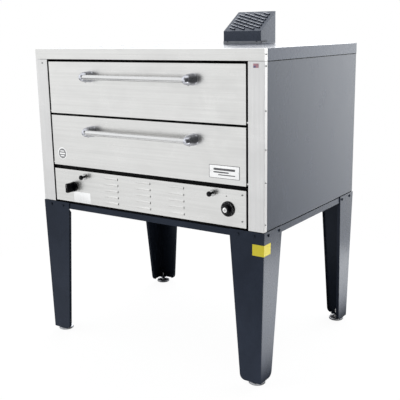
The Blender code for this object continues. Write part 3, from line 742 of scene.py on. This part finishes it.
def add_louvre(pressed, mouth_shades, place, away):
    """A louvre pressed outward from a sheet, closed at one end and open at the other.

    Place is the middle of its foot; away is -1 for a front face and 1 for a rear one.
    """
    turns = [math.pi * step / LOUVRE_STEPS for step in range(LOUVRE_STEPS + 1)]
    x, y, z = place
    start = x + away * LOUVRE_LENGTH / 2
    outer, inner = [], []
    for along, share in LOUVRE_STATIONS:
        for rings, thick in ((outer, 0.0), (inner, LOUVRE_SHEET)):
            height = max(0.0, LOUVRE_RISE * share - thick)
            reach = LOUVRE_HALF * (0.75 + 0.25 * share) - thick
            rings.append(add_ring(pressed, [
                (start - away * along, y + away * (height * math.sin(angle) ** 2 - 0.0001),
                 z - reach * math.cos(angle)) for angle in turns]))
    for first, second in (*zip(outer, outer[1:]), *zip(inner, inner[1:]),
                          (outer[-1], inner[-1])):
        for step in range(LOUVRE_STEPS):
            pressed.faces.new((first[step], first[step + 1], second[step + 1], second[step]))
    # A black plug just inside the open end: painted shade in the louvre's mouth.
    mouth_shades.faces.new(add_ring(mouth_shades, [
        (x - away * (LOUVRE_LENGTH / 2 - 0.0015),
         y + away * ((LOUVRE_RISE - LOUVRE_SHEET) * math.sin(angle) ** 2 - 0.0002),
         z - (LOUVRE_HALF - LOUVRE_SHEET) * math.cos(angle)) for angle in turns]))


def make_louvres(name, columns, low, face, away, look, slot):
    """Columns of louvres on one face, from the row at height low upwards."""
    pressed, mouth_shades = bmesh.new(), bmesh.new()
    for column in columns:
        for row in range(LOUVRE_ROWS):
            add_louvre(pressed, mouth_shades, (column, face, low + LOUVRE_PITCH * row), away)
    finish_piece(f"{name}_louvres", pressed, (look,), "oven", smooth=50.0)
    # The black plugs in the louvre mouths are painted shade.
    finish_piece(f"{name}_louvre_mouths", mouth_shades, (SHADE_BLACK,), "oven", smooth=0)


def make_front_screws():
    """Screws down the sides of the corner posts and on the header and the control panel."""
    screws = bmesh.new()
    draw = random.Random(11)
    for side, _ in SIDES:
        for z in POST_SCREW_ROWS:
            add_screw(screws, (side * HALF_WIDTH, POST_SCREW_Y, z), (side, 0, 0), 0.0045,
                      draw.uniform(0, 1.5))
    add_screw_grid(screws, PANEL_COLUMNS, PANEL_ROWS, 0.0, -1, 0.0046, draw)
    add_screw(screws, HEADER_SCREW, (0, -1, 0), 0.0042, 0.3)
    add_screw(screws, THERMOSTAT_SCREW, (0, -1, 0), 0.0030, 0.9)
    finish_piece("front_screws", screws, (SCREW_STEEL, SHADE_BLACK), "oven")


def make_panel_labels():
    """The blank rating label of the panel and the small two-coloured sticker of the header."""
    labels = bmesh.new()
    add_plate(labels, label_place(*RATING_LABEL), rounded_outline(0.055, 0.0265, 0.003),
              [(0.0, -0.0001), (0.0, 0.00022), (0.0003, 0.0003)])
    sticker = label_place(*STICKER)
    add_plate(labels, sticker, rounded_outline(0.0125, 0.0085, 0.001),
              [(0.0, -0.0001), (0.0, 0.00022), (0.0002, 0.0003)], 2)
    add_plate(labels, sticker @ Matrix.Translation((0.006, 0.004, 0.0)),
              rounded_outline(0.0050, 0.0038, 0.0005),
              [(0.0, 0.0001), (0.0, 0.00034), (0.0001, 0.0004)], 1)
    finish_piece("panel_labels", labels, (LABEL_WHITE, LABEL_BLUE, LABEL_RED), "oven")


# ---------------- controls

def add_shaft(knob, x, z):
    """The shaft behind a knob, through the panel."""
    add_turned(knob, on_front(x, z, SHAFT_START),
               [(0.0, 0.0), (0.0037, 0.0), (0.0040, 0.0004), (0.0040, SHAFT_START)], 24)


def make_thermostat():
    """A dial with a bevelled skirt and marks, under a fluted grip with a silver cap."""
    dial = bmesh.new()
    matrix = on_front(*THERMOSTAT)
    add_turned(dial, matrix, [(0.0, 0.0012), (0.0325, 0.0012), (0.0338, 0.0020),
                              (0.0340, 0.0040), (0.0325, 0.0062), (0.0240, 0.0078),
                              (0.0190, 0.0082), (0.0, 0.0082)], 72)
    angles = [math.pi * step / (DIAL_FLUTES * 3) for step in range(DIAL_FLUTES * 6)]
    fluting = [0.0009 * max(0.0, math.cos(DIAL_FLUTES * angle)) for angle in angles]
    plain = [0.0004] * len(angles)
    grip = [add_ring(dial, [((radius - cut) * math.cos(angle), (radius - cut) * math.sin(angle),
                             height) for angle, cut in zip(angles, cuts)], matrix)
            for radius, height, cuts in ((0.0186, 0.0070, fluting), (0.0178, 0.0240, fluting),
                                         (0.0168, 0.0258, plain), (0.0150, 0.0264, plain))]
    add_loft(dial, grip, closed=(-1,))
    add_shaft(dial, *THERMOSTAT)
    for step in range(2, DIAL_MARKS - 1):
        spoke = matrix @ Matrix.Rotation(math.radians(270 - step * 360 / DIAL_MARKS), 4, "Z")
        inner, top = (0.0262, 0.0074) if step % 3 == 0 else (0.0282, 0.00705)
        add_block(dial, (inner, -0.00035, 0.0060), (0.0312, 0.00035, top), spoke, 1)
    add_turned(dial, matrix, [(0.0112, 0.0260), (0.0112, 0.0268), (0.0104, 0.0273),
                              (0.0, 0.0276)], 40, 2)
    for along, half_wide, half_tall in ((0.0, 0.0007, 0.0060), (0.0040, 0.0005, 0.0022),
                                        (-0.0040, 0.0005, 0.0022)):
        add_block(dial, (along - half_wide, -half_tall, 0.0266),
                  (along + half_wide, half_tall, 0.0279), matrix)
    finish_piece("thermostat_dial_knob", dial, (PLASTIC, DIAL_MARK, LABEL_WHITE),
                 "thermostat_dial", ("thermostat_knob",), smooth=32.0)


def make_gas_knob():
    """A bar grip on a dished collar, with a white index line."""
    knob = bmesh.new()
    matrix = on_front(*GAS_KNOB)
    add_turned(knob, matrix, [(0.0, 0.0012), (0.0240, 0.0012), (0.0250, 0.0022),
                              (0.0250, 0.0075), (0.0236, 0.0098), (0.0150, 0.0110),
                              (0.0, 0.0110)], 48)
    add_shaft(knob, *GAS_KNOB)
    add_plate(knob, matrix, rounded_outline(0.0090, 0.0235, 0.0050, 4),
              [(0.0, 0.0085), (0.0, 0.0130), (0.0002, 0.0350), (0.0004, 0.0490),
               (0.0016, 0.0520), (0.0035, 0.0530)])
    add_block(knob, (-0.0006, 0.0030, 0.0520), (0.0006, 0.0195, 0.05315), matrix, 1)
    finish_piece("gas_valve_bar_knob", knob, (PLASTIC, DIAL_MARK), "gas_valve_handle",
                 ("gas_valve_knob",), smooth=35.0)


def make_button(name):
    """A mushroom head on a stem, through a round bezel with a hex nut."""
    matrix = on_front(*BUTTONS[name])
    button = bmesh.new()
    add_turned(button, matrix, [(0.0, -0.0200), (0.0054, -0.0200), (0.0056, 0.0235),
                                (0.0066, 0.0250), (0.0104, 0.0258), (0.0118, 0.0272),
                                (0.0120, 0.0300), (0.0112, 0.0332), (0.0088, 0.0352),
                                (0.0045, 0.0360), (0.0, 0.0361)], 40)
    finish_piece(f"{name}_push_knob", button, (PLASTIC,), f"{name}_plunger",
                 (f"{name}_button",))
    collar = bmesh.new()
    add_turned(collar, matrix, [(0.0160, -0.0001), (0.0160, 0.0014), (0.0152, 0.0020),
                                (0.0136, 0.0020)], 40)
    add_turned(collar, matrix, [(0.0126, 0.0020), (0.0126, 0.0056), (0.0118, 0.0064),
                                (0.0066, 0.0064), (0.0064, 0.0)], 6)
    finish_piece(f"{name}_collar", collar, (SCREW_STEEL,), "oven", smooth=30.0)


# ---------------- hood, legs and feet

def hood_rows():
    """Where each row of slots runs on the slope: middle, place up the slope and length."""
    across, up = HOOD_SLOT_REACH
    for row in range(-(HOOD_SLOT_ROWS // 2), HOOD_SLOT_ROWS // 2 + 1):
        climb = row * HOOD_SLOT_PITCH
        left = max(-across, (climb - up) / math.tan(HOOD_SLOT_TILT))
        right = min(across, (climb + up) / math.tan(HOOD_SLOT_TILT))
        centre = (left + right) / 2
        yield (centre, climb - centre * math.tan(HOOD_SLOT_TILT),
               (right - left) / math.cos(HOOD_SLOT_TILT))


def add_blade(blades, matrix, start, end):
    """A curled louvre blade from start to end along local X; its lip is lighter: a painted
    highlight.
    """
    turns = [math.radians(15 * step) for step in range(7)]
    lip = len(turns) - 1
    outer, inner = ([(0.0060 - thick - (0.0105 - thick) * (1.0 - math.cos(angle)),
                      (0.0056 - thick) * math.sin(angle)) for angle in turns]
                    for thick in (0.0, 0.0008))
    outline = outer + inner[::-1]
    first, last = (add_ring(blades, [(x, a, b) for a, b in outline], matrix)
                   for x in (start, end))
    for step in range(len(outline)):
        after = (step + 1) % len(outline)
        face = blades.faces.new((first[step], first[after], last[after], last[step]))
        # The lip faces take the lighter material: a painted highlight.
        face.material_index = 1 if abs(step - lip) <= 1 else 0
    for ends in (first, last):
        for step in range(lip):
            blades.faces.new((ends[step], ends[step + 1], ends[2 * lip - step],
                              ends[2 * lip + 1 - step]))


def make_hood_blades():
    """Pressed louvre blades over the slots of the hood."""
    slope = math.atan2(HOOD_REAR_HEIGHT - HOOD_FRONT_HEIGHT, HOOD_REAR - HOOD_FRONT)
    middle = Vector((HOOD_X, (HOOD_FRONT + HOOD_REAR) / 2,
                     HEIGHT + (HOOD_FRONT_HEIGHT + HOOD_REAR_HEIGHT) / 2))
    blades = bmesh.new()
    for centre, climb, length in hood_rows():
        matrix = (Matrix.Translation(middle) @ Matrix.Rotation(slope, 4, "X")
                  @ Matrix.Translation((centre, climb, 0.0))
                  @ Matrix.Rotation(-HOOD_SLOT_TILT, 4, "Z"))
        count = max(1, round(length / BLADE_LENGTH))
        pitch = length / count
        for part in range(count):
            start = -length / 2 + part * pitch + 0.0015
            add_blade(blades, matrix, start, start + pitch - 0.0045)
    finish_piece("hood_louvre_blades", blades, (LIT_TOP_SLATE, LIP_HIGHLIGHT), "oven")


def make_hood_flange():
    """The bright flange at the front foot of the hood, and flanges along its sides with a black
    upper strip: painted shade.
    """
    flange = bmesh.new()
    half, thick = HOOD_HALF + 0.0008, 0.0008
    low, high = HEIGHT + 0.0004, HEIGHT + 0.0150
    split = low + 0.75 * (high - low)
    front, rear = HOOD_FRONT - 0.0008, REAR - 0.0005
    add_block(flange, (HOOD_X - half, front - thick, low), (HOOD_X + half, front, high))
    for side, _ in SIDES:
        inner, outer = sorted((HOOD_X + side * half, HOOD_X + side * (half + thick)))
        add_block(flange, (inner, front + 0.004, low), (outer, rear, split), material=1)
        # The upper strip of each side flange is black: painted shade at the hood's foot.
        add_block(flange, (inner, front + 0.004, split), (outer, rear, high), material=2)
    finish_piece("hood_foot_flange", flange, (FLANGE_GREY, LIT_TOP_SLATE, SHADE_BLACK), "oven",
                 bevel=0.0002)


def make_leg_bolts():
    """Two bolts through each leg plate, on the sides, the front and the rear."""
    bolts = bmesh.new()
    for side, _ in SIDES:
        for y in SIDE_BOLTS_Y:
            for place in (y, REAR - y):
                add_bolt(bolts, (side * LEG_SIDE, place, SIDE_BOLTS_Z), (side, 0, 0))
        for x in END_BOLTS_X:
            add_bolt(bolts, (side * x, LEG_FRONT, END_BOLTS_Z), (0, -1, 0))
            add_bolt(bolts, (side * x, REAR - LEG_FRONT, END_BOLTS_Z), (0, 1, 0))
    finish_piece("leg_bolts", bolts, (LEG_SLATE,), "oven", smooth=35.0)


def make_leg_tag():
    """A blank yellow tag folded round the outer corner of the front right leg."""
    tag = bmesh.new()
    half = TAG_HEIGHT / 2
    add_block(tag, (0.592, LEG_FRONT - TAG_THICKNESS, TAG_MIDDLE - half),
              (0.6495, LEG_FRONT - 0.0001, TAG_MIDDLE + half))
    matrix = (Matrix.Translation((LEG_SIDE + math.tan(LEG_LEAN) * TAG_MIDDLE, 0.0, TAG_MIDDLE))
              @ Matrix.Rotation(LEG_LEAN, 4, "Y"))
    add_block(tag, (0.0001, -0.0028, -half), (TAG_THICKNESS, 0.057, half), matrix)
    finish_piece("leg_tag", tag, (TAG_YELLOW,), "oven", bevel=0.0002)


def make_foot(end, label):
    """A turned pad with its lock nut, on a threaded stud that runs up into the leg."""
    low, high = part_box(f"foot_{end}_{label}")
    centre = (low + high) / 2 - DATUM
    matrix = Matrix.Translation((centre.x, centre.y, low.z - DATUM.z))
    foot = bmesh.new()
    add_turned(foot, matrix, [(0.0, 0.0), (0.0360, 0.0), (0.0380, 0.0018), (0.0380, 0.0092),
                              (0.0370, 0.0112), (0.0345, 0.0122), (0.0180, 0.0126),
                              (0.0125, 0.0136), (0.0, 0.0136)], 48)
    thread = [(0.0, 0.0130)]
    for ridge in range(THREAD_RIDGES):
        height = 0.0134 + ridge * THREAD_PITCH
        thread += [(0.0050, height), (0.0059, height + THREAD_PITCH / 2)]
    thread += [(0.0050, 0.0550), (0.0, 0.0556)]
    add_turned(foot, matrix, thread, 20, 1)
    corner = 0.0095 / math.cos(math.pi / 6)
    add_turned(foot, matrix, [(0.0, 0.0138), (corner * 0.92, 0.0138), (corner, 0.0146),
                              (corner, 0.0202), (corner * 0.92, 0.0210), (0.0, 0.0210)], 6, 1)
    finish_piece(f"levelling_foot_{end}_{label}_pad", foot, (FOOT_STEEL, SCREW_STEEL),
                 f"levelling_foot_{end}_{label}", (f"foot_{end}_{label}",),
                 smooth=35.0)


# ---------------- rear and seams

def make_case_screws():
    """Screws round the back panel, down the flue and at the foot of the hood."""
    screws = bmesh.new()
    draw = random.Random(23)
    add_screw_grid(screws, BACK_COLUMNS, BACK_ROWS, REAR, 1, 0.0048, draw)
    add_screw_grid(screws, (BACK_COLUMNS[0], BACK_COLUMNS[-1]), BACK_SIDE_ROWS, REAR, 1, 0.0048,
                   draw)
    add_screw_grid(screws, FLUE_COLUMNS, FLUE_ROWS, FLUE_REAR, 1, 0.0045, draw)
    add_screw_grid(screws, HOOD_FOOT_COLUMNS, (HEIGHT + 0.012,), HOOD_FRONT, -1, 0.0042, draw)
    finish_piece("case_screws", screws, (BLACK_METAL, SHADE_BLACK), "oven")


def make_data_plate():
    """A riveted data plate on the back, with blank lines."""
    x, z = DATA_PLATE
    plate = bmesh.new()
    matrix = frame_along((x, REAR, z), (0, 1, 0))
    add_plate(plate, matrix, rounded_outline(0.060, 0.040, 0.004),
              [(0.0, -0.0001), (0.0, 0.0009), (0.0006, 0.0012)])
    for row in range(5):
        place = Matrix.Translation((0.004 * (row % 2), 0.024 - 0.012 * row, 0.0))
        add_plate(plate, matrix @ place,
                  rounded_outline(0.046 - 0.006 * (row % 3), 0.0018, 0.0016),
                  [(0.0, 0.0010), (0.0, 0.0013), (0.0002, 0.00135)], 1)
    for across in (-0.054, 0.054):
        for up in (-0.034, 0.034):
            add_turned(plate, matrix @ Matrix.Translation((across, up, 0.0011)),
                       [(0.0020, 0.0), (0.0018, 0.0007), (0.0010, 0.0012), (0.0, 0.0013)], 14)
    finish_piece("blank_data_plate", plate, (LABEL_SILVER, LABEL_GREY), "oven")


def make_seam_shade():
    """A black strip in the joint between the skirt of the top cover and each side panel: painted
    shade along the seam.
    """
    seal = bmesh.new()
    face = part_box("side_panel_right")[1].x
    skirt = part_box("top_cover")[1].x
    proud = face + 0.6 * (skirt - face) + 0.0004
    for side, _ in SIDES:
        inner, outer = sorted((side * (face - 0.0003), side * proud))
        add_block(seal, (inner, 0.0310, 0.7088), (outer, REAR - 0.0015, 0.7118))
    finish_piece("skirt_seam_shade", seal, (SHADE_BLACK,), "oven", bevel=0.0002)


# ---------------- floor, light and camera

def make_floor():
    """A pale round floor; it lights the oven as grey-white board, and shows as clean white.

    The board glows to the right of the oven and in front of it, as a lit studio floor does.
    """
    disc = bmesh.new()
    bmesh.ops.create_circle(disc, cap_ends=True, segments=96, radius=FLOOR_RADIUS)
    floor = add_object("floor", take_mesh("floor", disc))
    floor.location = (0.0, 0.0, -0.0005)
    board = Look("floor_board", (0.22, 0.22, 0.22), 0.7)
    place = board.split(board.coordinates)
    right = board.maths("MULTIPLY", board.remap(place["X"], 0.66, 0.80),
                        board.remap(place["X"], 0.80, 1.40, 2.1, 3.3))
    right = board.maths("MULTIPLY", right, board.remap(place["Y"], -0.80, -0.30))
    front = board.maths("MULTIPLY", board.remap(place["Y"], -1.9, -1.2, 0.0, 0.8),
                        board.remap(place["Y"], -0.52, -0.46, 1.0, 0.0))
    board.set("Emission Color", (1.0, 1.0, 1.0, 1.0))
    board.set("Emission Strength", board.maths("ADD", right, front))
    board.set("Roughness", board.remap(board.noise(2.0, 3.0), 0.3, 0.7, 0.6, 0.8))
    clean = board.node("Emission", {"Strength": 0.93}).outputs[0]
    faint = board.node("BsdfDiffuse", {"Color": (0.10, 0.10, 0.10, 1.0)}).outputs[0]
    both = board.node("AddShader", {0: clean, 1: faint}).outputs[0]
    board.feed(board.tree.nodes["Material Output"].inputs["Surface"],
               board.seen_as(board.shader.outputs[0], both))
    floor.data.materials.append(board.material)


def make_surround():
    """A soft white studio: bright behind, light at the front left, dark at the front right."""
    world = bpy.data.worlds.new("studio")
    bpy.context.scene.world = world
    world.use_nodes = True
    world.node_tree.nodes.clear()
    studio = Graph(world.node_tree)
    direction = studio.node("TexCoord").outputs["Generated"]
    total = BASE_LIGHT
    for axis, outer, inner, radiance in LOBES:
        along = studio.vector_maths("DOT_PRODUCT", direction, Vector(axis).normalized())["Value"]
        lobe = studio.remap(along, math.cos(math.radians(outer)), math.cos(math.radians(inner)),
                            0.0, radiance, "SMOOTHSTEP")
        total = studio.maths("ADD", total, lobe)
    shade = studio.remap(studio.split(direction)["Z"], -0.45, 0.0, LOW_SHADE, 1.0)
    lit = studio.node("Background", {"Color": (0.98, 0.99, 1.0, 1.0),
                                     "Strength": studio.maths("MULTIPLY", total, shade)})
    seen = studio.node("Background", {"Color": (1.0, 1.0, 1.0, 1.0), "Strength": 1.0})
    studio.node("OutputWorld", {"Surface": studio.seen_as(lit.outputs[0], seen.outputs[0])})


def make_camera():
    """The camera at its place, aimed by its turn about Z, its tilt and its roll."""
    data = bpy.data.cameras.new("camera")
    data.lens = CAMERA_LENS
    data.sensor_width = 36.0
    camera = add_object("camera", data)
    bpy.context.scene.camera = camera
    yaw, pitch, roll = CAMERA_YAW, CAMERA_PITCH, CAMERA_ROLL
    ahead = Vector((-math.sin(yaw) * math.cos(pitch), math.cos(yaw) * math.cos(pitch),
                    math.sin(pitch)))
    right = Vector((math.cos(yaw), math.sin(yaw), 0.0))
    up = right.cross(ahead)
    side = right * math.cos(roll) + up * math.sin(roll)
    top = up * math.cos(roll) - right * math.sin(roll)
    turn = Matrix((side, top, -ahead)).transposed()
    camera.matrix_world = Matrix.Translation(CAMERA_PLACE) @ turn.to_4x4()


for node_name, cad_node in NODES.items():
    for prefixes, material in NODE_LOOKS:
        if node_name.startswith(prefixes):
            cad_node.data.materials.clear()
            cad_node.data.materials.append(material)
    for prefixes, bend in NODE_BENDS:
        if node_name.startswith(prefixes):
            soften(cad_node, bend)

for deck_name, deck_z in DOORS.items():
    make_tube(deck_name, deck_z + HANDLE_RISE)
    for bracket_side, bracket_label in SIDES:
        make_bracket(deck_name, deck_z + HANDLE_RISE, bracket_side, bracket_label)
make_nameplate()
make_round_label()
make_louvres("control_panel", *PANEL_LOUVRES, 0.0, -1, DOOR_STEEL, "stainless_cladding")
make_louvres("back_panel", *BACK_LOUVRES, REAR, 1, SLATE, "slate_paint")
make_front_screws()
make_panel_labels()
make_thermostat()
make_gas_knob()
for button_name in BUTTONS:
    make_button(button_name)
make_hood_blades()
make_hood_flange()
make_leg_bolts()
make_leg_tag()
for foot_end in ("front", "rear"):
    for _, foot_side in SIDES:
        make_foot(foot_end, foot_side)
make_case_screws()
make_data_plate()
make_seam_shade()
make_floor()
make_surround()
make_camera()
bpy.context.scene.view_settings.view_transform = "Standard"
